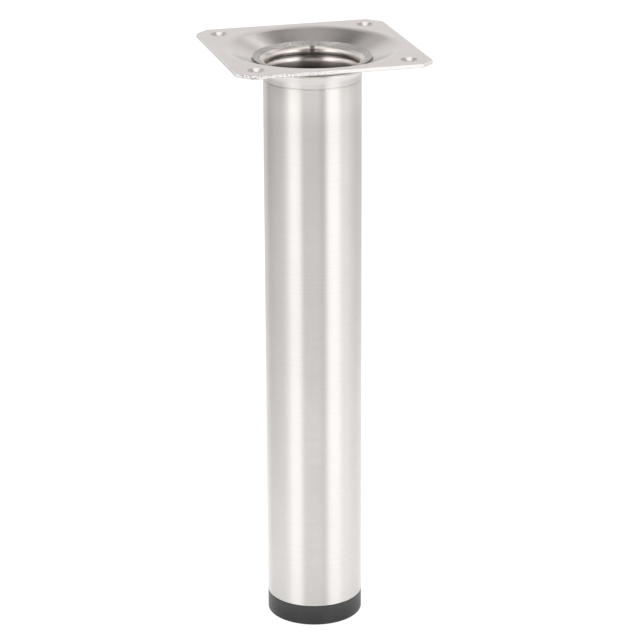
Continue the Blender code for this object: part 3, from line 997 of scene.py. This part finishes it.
# %% Roll the thread
STUD_LOW, STUD_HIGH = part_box("levelling_stud")
THREAD_PITCH = 0.0015
THREAD_DEPTH = 0.00085
THREAD_FLANK = 2.6
THREAD_CREST = 0.15
THREAD_ROWS = 10
STUD_NECK = 0.0015
STUD_POINT = 0.001
STUD_STEPS = 96


def thread_radius(angle, height, low, high):
    """The stud's radius at one place: a wave with straight flanks that climbs one pitch a turn."""
    share = (height / THREAD_PITCH - angle / math.tau) % 1
    wave = min(1.0, max(0.0, abs(share - 0.5) * THREAD_FLANK - THREAD_CREST))
    fade = max(0.0, min(1.0, (height - low) / THREAD_PITCH))
    radius = STUD_RADIUS - THREAD_DEPTH * wave * fade
    return min(radius, STUD_RADIUS - STUD_POINT + max(0.0, high - height))


def threaded_stud():
    shape = bmesh.new()
    head_low, head_top = STUD_LOW.z, STUD_LOW.z + STUD_HEAD_HEIGHT
    edge = MOULD_EDGE
    profile = [(0, head_low)]
    profile += arc((STUD_HEAD_RADIUS - edge, head_low + edge), edge, -math.pi / 2, 0, 3)
    profile += arc((STUD_HEAD_RADIUS - edge, head_top - edge), edge, 0, math.pi / 2, 3)
    profile.append((STUD_RADIUS, head_top))
    rings = [circle(shape, r, z, STUD_STEPS) for r, z in profile]
    low, high = head_top + STUD_NECK, STUD_HIGH.z
    rows = int((high - low) / (THREAD_PITCH / THREAD_ROWS))
    for row in range(rows + 1):
        height = low + (high - low) * row / rows
        ring = []
        for i in range(STUD_STEPS):
            angle = math.tau * i / STUD_STEPS
            radius = thread_radius(angle, height, low, high)
            ring.append(shape.verts.new((radius * math.cos(angle), radius * math.sin(angle), height)))
        rings.append(ring)
    rings.append(circle(shape, 0, high, STUD_STEPS))
    join_rings(shape, rings, closed=False)
    return finish_piece("threaded_stud", shape, [ZINC_STEEL], "stud", 45)


stud = threaded_stud()
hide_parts("levelling_stud")
print("stud faces:", len(stud.data.polygons))

# %% [markdown]
# ## The plug and the nut
# The plug and its nut sit inside the tube. Their solids already have the right shape, so they stay, and
# only take the finishes made above.

# %% Finish the plug and the nut
for name, material in (("tube_insert", BLACK_PLASTIC), ("insert_nut", ZINC_STEEL)):
    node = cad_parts[name]
    node.data.materials.clear()
    node.data.materials.append(material)
print("finished:", "tube_insert", "insert_nut")

# %% [markdown]
# ## The floor
# Bright metal shows what is round it, so the surroundings are as much a part of its look as the steel.
# The floor is pale and rough, and a part of it stays plain, so that the leg's soft shadow is kept. The
# rest glows for the rays that see it straight, which makes it white in the picture. The same trick is
# used for reflections: there the floor is brightest near the leg and dimmer far away, and dim again right
# beside the foot. Light Path tells the kinds of ray apart. The leg always stands on its foot, so the
# floor rides on the foot, and stays under it when the foot is wound down.

# %% Lay the floor
FLOOR_SIZE = 6.0
FLOOR_COLOUR = (0.85, 0.85, 0.85)
GLOW_SHARE = 0.85
SEEN_LEVEL = 1.1
NEAR_LEVEL, NEAR_RADIUS = 1.72, 0.29
FAR_LEVEL, FAR_RADIUS = 0.85, 1.0
FOOT_SHARE, FOOT_SHADE_FROM, FOOT_SHADE_TO = 0.55, 0.028, 0.055


def floor_material():
    material, shader = new_material("floor_white", FLOOR_COLOUR, 0.0, 0.9)
    tree = material.node_tree
    ray = add_node(tree, "ShaderNodeLightPath").outputs
    direct = calculate(tree, "MAXIMUM", ray["Is Camera Ray"], ray["Is Glossy Ray"])
    direct = calculate(tree, "MAXIMUM", direct, ray["Is Transmission Ray"])
    radius = place_parts(tree)[0]
    far = ramp(tree, radius, NEAR_RADIUS, FAR_RADIUS)
    level = ramp(tree, far, 0.0, 1.0, NEAR_LEVEL, FAR_LEVEL, smooth=False)
    beside_foot = ramp(tree, radius, FOOT_SHADE_FROM, FOOT_SHADE_TO, FOOT_SHARE, 1.0)
    level = calculate(tree, "MULTIPLY", level, beside_foot)
    level = mix_numbers(tree, ray["Is Glossy Ray"], SEEN_LEVEL, level)
    white = add_node(tree, "ShaderNodeEmission", {"Color": (1, 1, 1, 1), "Strength": level})
    glow = calculate(tree, "MULTIPLY", direct, GLOW_SHARE)
    both = add_node(tree, "ShaderNodeMixShader", {0: glow, 1: shader.outputs[0], 2: white.outputs[0]})
    tree.links.new(both.outputs[0], tree.nodes["Material Output"].inputs["Surface"])
    return material


floor_shape = bmesh.new()
bmesh.ops.create_grid(floor_shape, x_segments=1, y_segments=1, size=FLOOR_SIZE / 2)
floor_mesh = bpy.data.meshes.new("floor")
floor_shape.to_mesh(floor_mesh)
floor_shape.free()
floor_mesh.materials.append(floor_material())
floor = bpy.data.objects.new("floor", floor_mesh)
bpy.context.scene.collection.objects.link(floor)
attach(floor, "foot")
print("floor:", FLOOR_SIZE, "m wide")

# %% [markdown]
# ## Directions in the studio
# Area lamps would light the leg too, but a bright tube shows each lamp with its hard edges, and the dark
# places matter as much as the lamps. So the whole studio is drawn on the world, by direction. A ray's
# direction is turned so that zero degrees is the camera's side, and then split into an angle round the
# leg, positive to the camera's right, and an angle above the floor. A window is a soft-edged range of
# one of these angles.

# %% Find the angles
world = bpy.data.worlds.new("studio")
world.use_nodes = True
bpy.context.scene.world = world
tree = world.node_tree
look = add_node(tree, "ShaderNodeTexCoord")
turned = add_node(
    tree,
    "ShaderNodeVectorRotate",
    {"Vector": look.outputs["Generated"], "Angle": -CAMERA_TURN},
    rotation_type="Z_AXIS",
)
parts = add_node(tree, "ShaderNodeSeparateXYZ", {0: turned.outputs[0]})
toward = calculate(tree, "MULTIPLY", parts.outputs["Y"], -1.0)
angle_round = calculate(tree, "DEGREES", calculate(tree, "ARCTAN2", parts.outputs["X"], toward), 0.0)
angle_up = calculate(tree, "DEGREES", calculate(tree, "ARCSINE", parts.outputs["Z"], 0.0), 0.0)


def window(value, low, high, soft):
    """One inside a range of degrees, falling to nothing over its soft edges."""
    rise = ramp(tree, value, low - soft, low + soft)
    fall = ramp(tree, value, high + soft, high - soft)
    return calculate(tree, "MULTIPLY", rise, fall)


print("world:", world.name)

# %% [markdown]
# ## Panels of light and shade
# Each panel is a window both ways, and a later one covers an earlier one. The ceiling is bright, and
# dims behind the leg, where a small bright spot and two dark patches show in the wall of the dish. A soft
# box stands on each side, and the front is dark, with a bright strip low in the middle. The two brightest
# panels stand low at the left and the right of the front, and make the tall stripes on the tube. An angle
# of 400 is past every direction, and one of -100 is below every one. The camera itself sees plain white.

# %% Light the leg
# Each row is left, right, low, high and soft edge in degrees, and then the brightness.
PANELS = [
    (-400, 400, 54, 200, 6, 1.7),  # ceiling
    (119, 400, 49, 69, 6, 0.45),  # ceiling behind, to the right
    (-400, -125, 43, 69, 6, 0.5),  # ceiling behind, to the left
    (-400, -142, 27, 38, 6, 0.6),  # dim strip behind
    (132, 164, 26, 36, 6, 0.1),  # dark strip behind
    (-172, -148, 42, 56, 4, 0.18),  # dark patch behind, to the left
    (150, 170, 45, 56, 4, 0.2),  # dark patch behind, to the right
    (149, 164, 34, 39, 4, 2.4),  # bright spot behind
    (35, 110, 7, 69, 7, 1.3),  # soft box on the right
    (-112, -35, 7, 69, 7, 1.42),  # soft box on the left
    (-31, 31, 7, 69, 8, 0.02),  # dark front
    (-21, 19, -100, 22, 8, 1.5),  # low strip in front
    (60, 94, -100, 30, 8, 1.6),  # low panel on the right
    (-129, -69, -100, 14, 8, 0.02),  # dark low panel on the left
    (-57, -26, -100, 25, 8, 3.0),  # bright panel, front left
    (33, 66, -100, 25, 8, 3.2),  # bright panel, front right
]
OPEN_LEVEL = 1.0
CAMERA_LEVEL = 1.01
LIGHT_COLOUR = (1, 0.997, 0.993, 1)

level = OPEN_LEVEL
for left_edge, right_edge, low, high, soft, brightness in PANELS:
    across = window(angle_round, left_edge, right_edge, soft)
    inside = calculate(tree, "MULTIPLY", across, window(angle_up, low, high, soft))
    level = mix_numbers(tree, inside, level, brightness)
ray = add_node(tree, "ShaderNodeLightPath")
level = mix_numbers(tree, ray.outputs["Is Camera Ray"], level, CAMERA_LEVEL)
tree.links.new(level, tree.nodes["Background"].inputs["Strength"])
tree.nodes["Background"].inputs["Color"].default_value = LIGHT_COLOUR
bpy.context.scene.view_settings.view_transform = "Standard"
print("panels:", len(PANELS))
